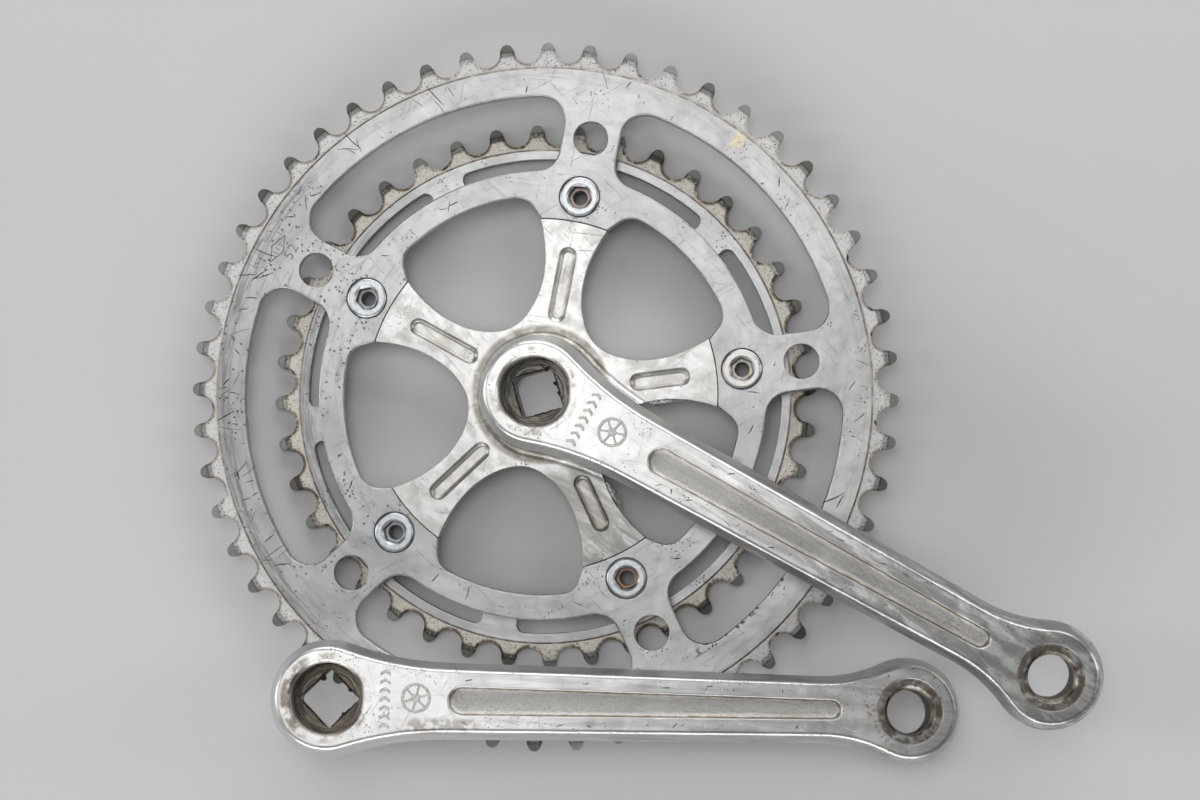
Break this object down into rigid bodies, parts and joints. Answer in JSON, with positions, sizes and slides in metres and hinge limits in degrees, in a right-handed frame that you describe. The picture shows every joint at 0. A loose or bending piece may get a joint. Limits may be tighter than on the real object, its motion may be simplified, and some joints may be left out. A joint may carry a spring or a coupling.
{
  "type": "bicycle crankset",
  "caption": "Forged aluminium bicycle crankset lying disassembled: right arm with spider and two toothed chainrings bolted on, and the loose left arm across the rings.",
  "frame": {"origin": "on the right arm's spindle axis, in the inboard face of its boss, which rests on the supporting plane", "axes": "+Z outboard along the right arm's spindle axis; +X from the spindle axis to the right arm's pedal axis; +Y completes a right-handed frame, away from the loose left arm"},
  "size_m": [0.2931, 0.2343, 0.0383],
  "materials": {
    "arm_aluminium": "satin polished, worn",
    "outer_ring_aluminium": "satin, worn",
    "inner_ring_aluminium": "satin, grimy",
    "bolt_steel": "zinc plated, worn",
    "nut_steel": "zinc plated, worn"
  },
  "bodies": {
    "drive_side": {"right_crank_arm": "arm_aluminium", "outer_chainring": "outer_ring_aluminium", "inner_chainring": "inner_ring_aluminium", "chainring_bolt_1": "bolt_steel", "chainring_bolt_2": "bolt_steel", "chainring_bolt_3": "bolt_steel", "chainring_bolt_4": "bolt_steel", "chainring_bolt_5": "bolt_steel", "chainring_nut_1": "nut_steel", "chainring_nut_2": "nut_steel", "chainring_nut_3": "nut_steel", "chainring_nut_4": "nut_steel", "chainring_nut_5": "nut_steel"},
    "left_arm": {"left_crank_arm": "arm_aluminium"}
  },
  "joints": [
    {"name": "left_arm_lift", "type": "slide", "parent": "drive_side", "child": "left_arm", "axis": [0, 0, 1], "range_m": [0, 0.12]}
  ]
}
